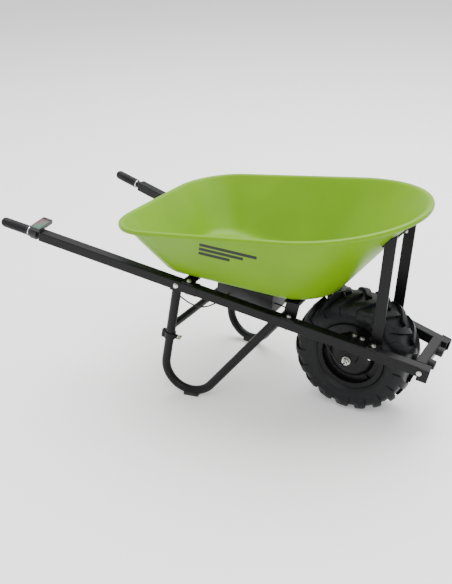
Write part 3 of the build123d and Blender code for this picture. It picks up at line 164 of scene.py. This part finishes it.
# finishes
def powderCoat(name, colour, roughness=0.42):
    coat = Finish(name, colour, roughness, Specular_IOR_Level=0.2)
    cloud = coat.noise(14, 3)
    grain = coat.noise(1400, 2, 0.6)
    dust = coat.noise(55, 5, 0.65).ramp(0.56, 0.8)
    lighter = tuple(c * 1.8 + 0.002 for c in colour)
    coat.feed("Base Color", coat.mix(cloud.ramp(0.3, 0.75, 0, 0.35) + dust * 0.25, colour, lighter))
    coat.feed("Roughness", roughness - 0.07 + cloud * 0.12 + dust * 0.1)
    coat.bump(grain + cloud * 0.3, 0.22, 0.0004)
    return coat.material


def zincPlate():
    plate = Finish("zinc plate", (0.62, 0.62, 0.6), 0.3, Metallic=1.0)
    cloud = plate.noise(90, 4, 0.6)
    lines = plate.noise(500, 2, 0.5, stretch=(1, 1, 9))
    plate.feed("Base Color", plate.mix(cloud.ramp(0.35, 0.7), (0.5, 0.5, 0.48), (0.78, 0.77, 0.74)))
    plate.feed("Roughness", 0.2 + cloud * 0.22 + lines * 0.08)
    plate.bump(lines, 0.12, 0.0003)
    return plate.material


def bareMetal(name, colour, roughness):
    metal = Finish(name, colour, roughness, Metallic=1.0)
    cloud = metal.noise(60, 4)
    metal.feed("Roughness", roughness - 0.08 + cloud * 0.2)
    metal.feed("Base Color", metal.mix(cloud, tuple(c * 0.82 for c in colour), colour))
    metal.bump(metal.noise(900, 2), 0.1, 0.0003)
    return metal.material


def darkPlastic(name, colour, roughness=0.48):
    plastic = Finish(name, colour, roughness)
    leather = plastic.add("ShaderNodeTexVoronoi", {}, Vector=plastic.place(), Scale=950)
    cloud = plastic.noise(30, 4)
    lighter = tuple(c * 1.7 + 0.002 for c in colour)
    plastic.feed("Base Color", plastic.mix(cloud.ramp(0.4, 0.8, 0, 0.5), colour, lighter))
    plastic.feed("Roughness", roughness - 0.06 + cloud * 0.14)
    plastic.bump(leather, 0.2, 0.0004)
    return plastic.material


def rubber(name, colour, roughness, grain=700):
    skin = Finish(name, colour, roughness, Specular_IOR_Level=0.25)
    cloud = skin.noise(22, 5, 0.6)
    fine = skin.noise(grain, 3, 0.6)
    bloom = skin.noise(9, 3).ramp(0.45, 0.75)
    dusty = tuple(c * 1.9 + 0.0025 for c in colour)
    skin.feed("Base Color", skin.mix(cloud.ramp(0.3, 0.8) * 0.6 + bloom * 0.25, colour, dusty))
    skin.feed("Roughness", roughness - 0.1 + cloud * 0.18 + bloom * 0.06)
    skin.bump(fine + cloud * 0.6, 0.3, 0.0006)
    return skin.material


trayLook = dict(
    colour=(0.130, 0.275, 0.0002),
    pale=(0.148, 0.31, 0.0004),
    decalMiddle=(-0.330, 0.577),  # along and up, from the axle and the ground
    decalFall=-0.11,
    stripeHalf=0.0072,
    stripePitch=0.0205,
    stripeLong=0.092,
    stripeLean=0.45,
    stripes=((1, 1.0), (0, 0.78), (-1, 0.56)),  # rows up from the middle one, share of the length
    stripeTone=(0.012, 0.014, 0.010),
    edgeBlur=0.0004,
    outside=(0.205, 0.207),  # away from the middle plane, where the bars fade in
    wornTone=(0.165, 0.32, 0.004),
)


def trayPlastic():
    look = trayLook
    skin = Finish("tray green", look["colour"], 0.36, Specular_IOR_Level=0.22)
    along, side, up = skin.axes(skin.place(shift=(-axleX, 0, 0)))
    cloud = skin.noise(5, 3)
    grain = skin.noise(520, 3, 0.55)
    scuffs = skin.noise(120, 2, 0.7, stretch=(1, 5, 0.35)).ramp(0.68, 0.74)
    inside = skin.noise(11, 4, 0.7).ramp(0.5, 0.72)
    green = skin.mix(cloud.ramp(0.3, 0.7), look["colour"], look["pale"])
    green = skin.mix(inside * 0.08, green, look["wornTone"])

    def within(distance, limit):
        return distance.ramp(limit - look["edgeBlur"], limit + look["edgeBlur"], 1, 0)

    # plain slanting bars on both long sides, only where the wall faces down and out
    x = along - look["decalMiddle"][0]
    z = up - look["decalMiddle"][1] - x * look["decalFall"]
    lean = x - z * look["stripeLean"]
    bars = None
    for row, share in look["stripes"]:
        height = abs(z - row * look["stripePitch"])
        reach = abs(lean + look["stripeLong"] * (1 - share))
        bar = within(height, look["stripeHalf"]) * within(reach, look["stripeLong"] * share)
        bars = bar if bars is None else bars + bar
    outside = abs(side).ramp(*look["outside"])
    facing = skin.axes(skin.add("ShaderNodeNewGeometry", {}, out="Normal"))[2]
    bars = bars * outside * (facing < 0)
    skin.feed("Base Color", skin.mix(bars, green, look["stripeTone"]))
    skin.feed("Roughness", 0.30 + cloud * 0.06 + grain * 0.06 + scuffs * 0.12 + inside * 0.05)
    skin.bump(grain + scuffs * 0.4 + cloud * 2.0, 0.16, 0.0005)
    return skin.material


displayLook = dict(
    glass=(0.01, 0.03, 0.03),
    dark=(0.014, 0.026, 0.024),
    rose=(0.26, 0.06, 0.11),
    green=(0.015, 0.22, 0.12),
    glow=0.12,
    columns=13,
    rows=7,
)


def displayFace():
    look = displayLook
    glass = Finish("display face", look["glass"], 0.09, Coat_Weight=1.0, Coat_Roughness=0.03)
    low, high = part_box("display_lens")
    x, y = glass.axes()[:2]
    across = (y - (low.y + high.y) / 2) / (high.y - low.y)
    alongLens = (x - (low.x + high.x) / 2) / (high.x - low.x)
    columns = (across * look["columns"]).repeat(0.5).ramp(0.12, 0.2)
    rows = (alongLens * look["rows"]).repeat(0.5).ramp(0.14, 0.22)
    cells = columns * rows * abs(alongLens).ramp(0.26, 0.3, 1, 0) * abs(across).ramp(0.34, 0.37, 1, 0)
    slant = (alongLens * 0.6 - across * 0.4).ramp(-0.3, 0.25)
    tint = glass.mix(slant, look["rose"], look["green"])
    glass.feed("Base Color", glass.mix(0.3 + cells * 0.5, look["dark"], tint))
    glass.feed("Emission Color", glass.mix(cells, (0, 0, 0), tint))
    glass.shader.inputs["Emission Strength"].default_value = look["glow"]
    return glass.material


def lamination(sheetsPerMetre=900):
    steel = Finish("stator steel", (0.2, 0.19, 0.18), 0.5, Metallic=0.8)
    sheets = (steel.axes()[1] * sheetsPerMetre).repeat(0.5)
    steel.feed("Base Color", steel.mix(sheets, (0.12, 0.11, 0.1), (0.3, 0.28, 0.26)))
    steel.bump(sheets, 0.4, 0.0004)
    return steel.material


frameBlack = powderCoat("frame black", (0.0035, 0.0035, 0.0042))
hubBlack = powderCoat("hub black", (0.004, 0.004, 0.0045), 0.3)
zinc = zincPlate()
blackPlastic = darkPlastic("black plastic", (0.005, 0.005, 0.0055))
batteryCase = darkPlastic("battery case", (0.02, 0.021, 0.023), 0.55)
tyreRubber = rubber("tyre rubber", (0.0026, 0.0029, 0.0038), 0.46)
gripRubber = rubber("grip rubber", (0.005, 0.005, 0.006), 0.5, 1200)
cableSkin = rubber("cable skin", (0.005, 0.005, 0.0055), 0.4, 1600)
collarMetal = bareMetal("collar aluminium", (0.8, 0.81, 0.83), 0.22)
castMetal = bareMetal("cast aluminium", (0.55, 0.56, 0.58), 0.45)
magnetMetal = bareMetal("magnet nickel", (0.6, 0.6, 0.62), 0.3)
redPlastic = darkPlastic("red button", (0.09, 0.008, 0.007), 0.3)
greyPlastic = darkPlastic("grey button", (0.07, 0.075, 0.08), 0.35)
trayGreen = trayPlastic()
displayGlass = displayFace()
statorSteel = lamination()

zincNodes = (
    "crossmember_bolts rail_bolts tray_bolts leg_bolts hanger_bolts axle_nuts box_screws axle "
    "right_wing_screw left_wing_screw motor_bearings"
).split()
otherLooks = {
    "tray": trayGreen,
    "tyre": tyreRubber,
    "grips": gripRubber,
    "front_buffers": gripRubber,
    "grip_collars": collarMetal,
    "handle_end_caps": blackPlastic,
    "foot_shoes": blackPlastic,
    "battery_box": blackPlastic,
    "battery_lid": blackPlastic,
    "lid_latch": greyPlastic,
    "battery_pack": batteryCase,
    "controller": castMetal,
    "throttle_housing": blackPlastic,
    "throttle_lever": blackPlastic,
    "display_lens": displayGlass,
    "power_button": redPlastic,
    "direction_button": greyPlastic,
    "throttle_cable": cableSkin,
    "motor_cable": cableSkin,
    "cable_clips": blackPlastic,
    "wheel_rim": hubBlack,
    "right_motor_cover": hubBlack,
    "left_motor_cover": hubBlack,
    "cover_screws": hubBlack,
    "rotor_magnets": magnetMetal,
    "motor_stator": statorSteel,
    "valve_stem": cableSkin,
}
for name, node in nodes.items():
    look = otherLooks.get(name) or (zinc if name in zincNodes else frameBlack)
    node.data.materials.clear()
    node.data.materials.append(look)
print("finishes on", len(nodes), "CAD nodes")


# modelling helpers
def soloSelect(thing):
    bpy.ops.object.select_all(action="DESELECT")
    thing.select_set(True)
    bpy.context.view_layer.objects.active = thing


def finishPiece(thing, name, material, body, angle):
    thing.name = name
    thing.data.name = name
    soloSelect(thing)
    bpy.ops.object.transform_apply(location=True, rotation=True, scale=True)
    bpy.ops.object.shade_smooth_by_angle(angle=radians(angle))
    thing.data.materials.clear()
    thing.data.materials.append(material)
    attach(thing, body)


# extrudes the first ring through the others: a loop joins the last to the first, else both ends are capped
def growRings(rings, loop):
    count = len(rings[0])
    bpy.ops.object.select_all(action="DESELECT")
    bpy.ops.mesh.primitive_circle_add(vertices=count, radius=0.1)
    thing = bpy.context.object
    bpy.ops.object.mode_set(mode="EDIT")
    mesh = bmesh.from_edit_mesh(thing.data)
    mesh.verts.ensure_lookup_table()
    for vertex, point in zip(mesh.verts, rings[0]):
        vertex.co = point
    ringPlace = {i: i for i in range(count)}
    bpy.ops.mesh.select_all(action="SELECT")
    for ring in rings[1:]:
        bpy.ops.mesh.extrude_edges_move()
        mesh = bmesh.from_edit_mesh(thing.data)
        for vertex in mesh.verts:
            if vertex.select:
                ends = [edge.other_vert(vertex) for edge in vertex.link_edges]
                before = next(end for end in ends if not end.select)
                ringPlace[vertex.index] = ringPlace[before.index]
                vertex.co = ring[ringPlace[vertex.index]]
        bmesh.update_edit_mesh(thing.data)
    if not loop:
        bpy.ops.mesh.edge_face_add()
        bpy.ops.mesh.select_all(action="DESELECT")
    mesh = bmesh.from_edit_mesh(thing.data)
    mesh.verts.ensure_lookup_table()
    for i in range(count):
        mesh.verts[i].select = True
    mesh.select_flush(True)
    if loop:
        bpy.ops.mesh.bridge_edge_loops()
    else:
        bpy.ops.mesh.edge_face_add()
    bpy.ops.mesh.select_all(action="SELECT")
    bpy.ops.mesh.normals_make_consistent(inside=False)
    bpy.ops.object.mode_set(mode="OBJECT")
    return thing


def smoothOut(thing):
    soloSelect(thing)
    rounder = thing.modifiers.new("rounder", "SUBSURF")
    rounder.levels = rounder.render_levels = 1
    bpy.ops.object.modifier_apply(modifier=rounder.name)


# tray: one moulded shell, round from the floor over the rolled rim and back down inside
traySize = dict(
    wall=0.004,
    # rear, front, half width at the rear, half width at the front, rear corner
    rim=(-0.781, 0.206, 0.341, 0.341, 0.180),
    rimHeight=0.6906,
    rimRise=5.98,
    wallHead=0.013,  # the wall's top, in from the rim's outline
    floor=(-0.640, -0.080, 0.205, 0.165, 0.090),
    floorHeight=0.381,
    floorFall=5.8,
    fillet=0.058,
    outlineSteps=(18, 14, 12, 6),  # round half the front, along a side, round a rear corner, half the rear
    filletSteps=5,
    floorFlats=(0.045, 0.012),  # inward from where the fillet starts
    wallPlaces=(0.2, 0.4, 0.6, 0.8, 0.93),  # shares of the wall above the fillet
    # the rolled rim's section, in mm in from the rim's outline and up
    lip=(
        (14.2, -4.9),
        (10.5, -4.3),
        (6.0, -4.2),
        (4.2, -5.4),
        (3.9, -9.0),
        (3.4, -12.2),
        (1.9, -13.4),
        (0.2, -12.2),
        (-0.2, -8.0),
        (0.0, -3.6),
        (1.2, -0.9),
        (4.2, 0.35),
        (9.0, 0.5),
        (13.4, 0.2),
        (16.6, -1.0),
    ),
)


def trayOutline(ends, inset):
    rear, front, halfRear, halfFront, corner = ends
    frontSteps, sideSteps, cornerSteps, rearSteps = traySize["outlineSteps"]
    cornerX, cornerY, frontX = rear + corner, halfRear - corner, front - halfFront
    cornerR, frontR = corner - inset, halfFront - inset
    spanX, spanY = cornerX - frontX, cornerY
    side = atan2(spanY, spanX) - acos((frontR - cornerR) / hypot(spanX, spanY))
    turns = [side * k / frontSteps for k in range(frontSteps + 1)]
    half = [(frontX + frontR * cos(turn), frontR * sin(turn)) for turn in turns]
    frontEnd = half[-1]
    rearEnd = (cornerX + cornerR * cos(side), cornerY + cornerR * sin(side))
    half += [
        tuple(a + (b - a) * k / sideSteps for a, b in zip(frontEnd, rearEnd)) for k in range(1, sideSteps)
    ]
    turns = [side + (pi - side) * k / cornerSteps for k in range(cornerSteps + 1)]
    half += [(cornerX + cornerR * cos(turn), cornerY + cornerR * sin(turn)) for turn in turns]
    half += [(rear + inset, cornerY * (1 - k / rearSteps)) for k in range(1, rearSteps + 1)]
    return half + [(x, -y) for x, y in reversed(half[1:-1])]


def onTilt(height, fall, x, y, z):
    tilt = radians(fall)
    return Vector((axleX + x * cos(tilt) + z * sin(tilt), y, height - x * sin(tilt) + z * cos(tilt)))


def floorRing(inset, up):
    size = traySize
    outline = trayOutline(size["floor"], inset)
    return [onTilt(size["floorHeight"], size["floorFall"], x, y, up) for x, y in outline]


def rimRing(inset, up):
    size = traySize
    outline = trayOutline(size["rim"], inset)
    return [onTilt(size["rimHeight"], -size["rimRise"], x, y, up) for x, y in outline]


def wallRings(inset, topPlace):
    size = traySize
    foot, head = floorRing(inset, inset), rimRing(size["wallHead"] + inset, 0)
    inward = [(b - a).normalized() for a, b in zip(foot, floorRing(inset + 0.01, inset))]
    fillet, steps = size["fillet"] - inset, size["filletSteps"]
    rings = []
    for k, start in enumerate(foot):
        up = (head[k] - start).normalized()
        corner = up.angle(inward[k])
        reach = fillet / tan(corner / 2)
        centre = start + (up + inward[k]).normalized() * (fillet / sin(corner / 2))
        first, last = start + inward[k] * reach - centre, start + up * reach - centre
        first, last = first.normalized(), last.normalized()
        column = [start + inward[k] * (reach + flat) for flat in size["floorFlats"]]
        column += [centre + first.slerp(last, i / steps) * fillet for i in range(steps + 1)]
        top = start + up * reach
        column += [top + (head[k] - top) * share for share in (*size["wallPlaces"], topPlace)]
        rings.append(column)
    return [list(ring) for ring in zip(*rings)]


outerRings = wallRings(0.0, 0.975)
innerRings = wallRings(traySize["wall"], 0.985)
lipRings = [rimRing(inset / 1000, up / 1000) for inset, up in traySize["lip"]]
tray = growRings(outerRings + lipRings + innerRings[::-1], loop=False)
smoothOut(tray)
finishPiece(tray, "trayShell", trayGreen, "chassis", 40)
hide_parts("tray")
print("tray", len(tray.data.polygons), "faces")

# tyre: a carcass grown as rings round the hub, and two rows of tread bars, with sections in mm
tyreSize = dict(
    radius=0.203,
    around=108,
    # half of the carcass's section, across and radius: crown, sidewall, bead and back up the inside
    carcass=(
        (12.0, 190.0),
        (34.0, 189.2),
        (54.0, 186.6),
        (66.5, 182.0),
        (74.0, 175.0),
        (78.2, 166.5),
        (79.6, 157.5),
        (79.2, 150.0),
        (79.9, 148.6),
        (79.3, 146.8),
        (77.6, 140.0),
        (75.0, 133.0),
        (73.6, 130.6),
        (73.6, 128.4),
        (71.0, 125.4),
        (67.6, 121.0),
        (65.6, 117.8),
        (62.6, 116.6),
        (61.8, 112.0),
        (61.8, 101.9),
        (54.2, 101.9),
        (54.6, 112.0),
        (62.0, 124.0),
        (68.5, 140.0),
        (70.6, 152.0),
        (68.0, 166.0),
        (58.0, 176.0),
        (40.0, 180.4),
        (14.0, 181.6),
    ),
    bars=18,
    # a bar's crest and foot, across and radius, from over the middle down to the sidewall
    barTop=(
        (-7, 203),
        (12, 202.8),
        (32, 201.6),
        (50, 198.9),
        (63, 194.2),
        (72, 187.6),
        (78, 178.5),
        (81.6, 167),
        (82.6, 155),
        (79.8, 146.5),
    ),
    barFoot=(
        (-5, 187),
        (12, 187),
        (32, 186),
        (50, 184),
        (61, 180),
        (68, 174),
        (73, 166),
        (75.5, 158),
        (76, 151),
        (76, 146),
    ),
    barHalf=((9.5,), (11.0,), (13.5,), (17.0,), (19.0,)),  # half a bar's width, at even places along it
    barFlare=2.2,  # how much wider the foot is on each side
    barCuts=8,
    sweep=62.0,  # how far a bar runs round the tyre by its shoulder
    sweepPower=1.15,
    sideSweep=6.0,  # the same past the shoulder, for a whole bar's length
    shoulderPlace=0.62,  # the share of a bar's length where its shoulder is
    edgeWidth=0.0022,
    edgeAngle=38,
)


def aroundHub(angle, radius, across):
    return Vector((axleX + radius * cos(angle), across, hubZ + radius * sin(angle)))


def carcassRing(across, radius):
    turns = [2 * pi * k / tyreSize["around"] for k in range(tyreSize["around"])]
    return [aroundHub(turn, radius / 1000, across / 1000) for turn in turns]


carcassHalf = tyreSize["carcass"]
carcassPlan = [*carcassHalf, *((-across, radius) for across, radius in reversed(carcassHalf))]
tyre = growRings([carcassRing(across, radius) for across, radius in carcassPlan], loop=True)
smoothOut(tyre)


def alongPlan(plan, share):
    place = share * (len(plan) - 1)
    i = min(int(place), len(plan) - 2)
    t = place - i
    return tuple(a + (b - a) * t for a, b in zip(plan[i], plan[i + 1]))


def treadBar():
    bpy.ops.object.select_all(action="DESELECT")
    bpy.ops.mesh.primitive_cube_add(size=2)
    bar = bpy.context.object
    bpy.ops.object.mode_set(mode="EDIT")
    bpy.ops.mesh.select_all(action="SELECT")
    size = tyreSize
    bpy.ops.mesh.subdivide(number_cuts=size["barCuts"])
    bpy.ops.object.mode_set(mode="OBJECT")
    shoulder = size["shoulderPlace"]
    # u runs down the bar from over the middle, v across its width and w from foot to crest
    for vertex in bar.data.vertices:
        u, v, w = (vertex.co.x + 1) / 2, vertex.co.y, (vertex.co.z + 1) / 2
        top, foot = alongPlan(size["barTop"], u), alongPlan(size["barFoot"], u)
        across, radius = (f + (t - f) * w for f, t in zip(foot, top))
        half = alongPlan(size["barHalf"], u)[0] + (1 - w) * size["barFlare"]
        sweep = size["sweep"] * min(1.0, u / shoulder) ** size["sweepPower"]
        sweep += size["sideSweep"] * max(0.0, u - shoulder)
        angle = pi / 2 + (sweep + v * half) / size["radius"] / 1000
        vertex.co = aroundHub(angle, radius / 1000, -across / 1000)
    soloSelect(bar)
    edge = bar.modifiers.new("edge", "BEVEL")
    edge.width = size["edgeWidth"]
    edge.segments = 2
    edge.limit_method = "ANGLE"
    edge.angle_limit = radians(size["edgeAngle"])
    bpy.ops.object.modifier_apply(modifier=edge.name)
    return bar


def turnedCopy(thing, angle, flip):
    copy = thing.copy()
    copy.data = thing.data.copy()
    bpy.context.collection.objects.link(copy)
    toHub = Matrix.Translation((axleX, 0, hubZ))
    turn = Matrix.Rotation(angle, 4, "Y")
    mirror = Matrix.Diagonal((1, -1 if flip else 1, 1, 1))
    copy.data.transform(toHub @ turn @ mirror @ toHub.inverted())
    if flip:
        copy.data.flip_normals()
    return copy


bar = treadBar()
bars = [
    turnedCopy(bar, 2 * pi * (k + (0.5 if flip else 0)) / tyreSize["bars"], flip)
    for k in range(tyreSize["bars"])
    for flip in (False, True)
]
bpy.data.objects.remove(bar)
bpy.ops.object.select_all(action="DESELECT")
for thing in bars:
    thing.select_set(True)
tyre.select_set(True)
bpy.context.view_layer.objects.active = tyre
bpy.ops.object.join()
finishPiece(tyre, "tyreBody", tyreRubber, "wheel", 42)
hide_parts("tyre")
print("tyre", len(tyre.data.polygons), "faces")

# studio
cameraPlan = dict(
    place=(0.86045, -2.37956, 1.57723), azimuth=29.67, elevation=24.94, roll=-1.30, lens=52.87
)
yaw, pitch, roll = (radians(cameraPlan[key]) for key in ("azimuth", "elevation", "roll"))
back = Vector((sin(yaw) * cos(pitch), -cos(yaw) * cos(pitch), sin(pitch)))
right = Vector((cos(yaw), sin(yaw), 0))
upward = back.cross(right)
tippedRight = right * cos(roll) + upward * sin(roll)
tippedUp = upward * cos(roll) - right * sin(roll)
cameraData = bpy.data.cameras.new("camera")
cameraData.lens = cameraPlan["lens"]
cameraData.sensor_width = 36
camera = bpy.data.objects.new("camera", cameraData)
bpy.context.collection.objects.link(camera)
turned = Matrix((tippedRight, tippedUp, back)).transposed().to_4x4()
camera.matrix_world = Matrix.Translation(Vector(cameraPlan["place"]) + Vector((axleX, 0, 0))) @ turned
bpy.context.scene.camera = camera


def softLight(name, place, aim, size, power):
    data = bpy.data.lights.new(name, "AREA")
    data.shape = "DISK"
    data.size = size
    data.energy = power
    lamp = bpy.data.objects.new(name, data)
    bpy.context.collection.objects.link(lamp)
    direction = Vector(aim) - Vector(place)
    lamp.rotation_mode = "QUATERNION"
    lamp.rotation_quaternion = direction.to_track_quat("-Z", "Y")
    lamp.location = place


softLight("overhead", (0, 2.0, 6.5), (0, 1.2, 0), 7.0, 820)
softLight("key", (1.6, -2.6, 3.4), (0, 0, 0.4), 2.4, 60)
softLight("fill", (-2.8, -1.8, 2.0), (0, 0, 0.4), 2.6, 12)
softLight("rear", (0.4, 3.0, 2.8), (0, 0, 0.5), 2.4, 30)
world = bpy.data.worlds.new("studio")
bpy.context.scene.world = world
world.use_nodes = True
backdrop = world.node_tree.nodes["Background"].inputs
backdrop["Color"].default_value = (1, 1, 1, 1)
backdrop["Strength"].default_value = 0.9

bpy.ops.object.select_all(action="DESELECT")
bpy.ops.mesh.primitive_plane_add(size=40, location=(0, 0, -0.0005))
floor = bpy.context.object
floor.name = "studioFloor"
floorGlow = dict(Emission_Color=(1, 1, 1, 1), Emission_Strength=0.25)
floorPaint = Finish("studio floor", (0.9, 0.9, 0.9), 0.8, **floorGlow)
floor.data.materials.append(floorPaint.material)
floor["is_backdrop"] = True
print("studio placed")

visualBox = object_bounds()
for label, box in (("CAD", cadBox), ("visual", visualBox)):
    print(label, "box", [round(v, 4) for v in (*box[0], *box[1])])
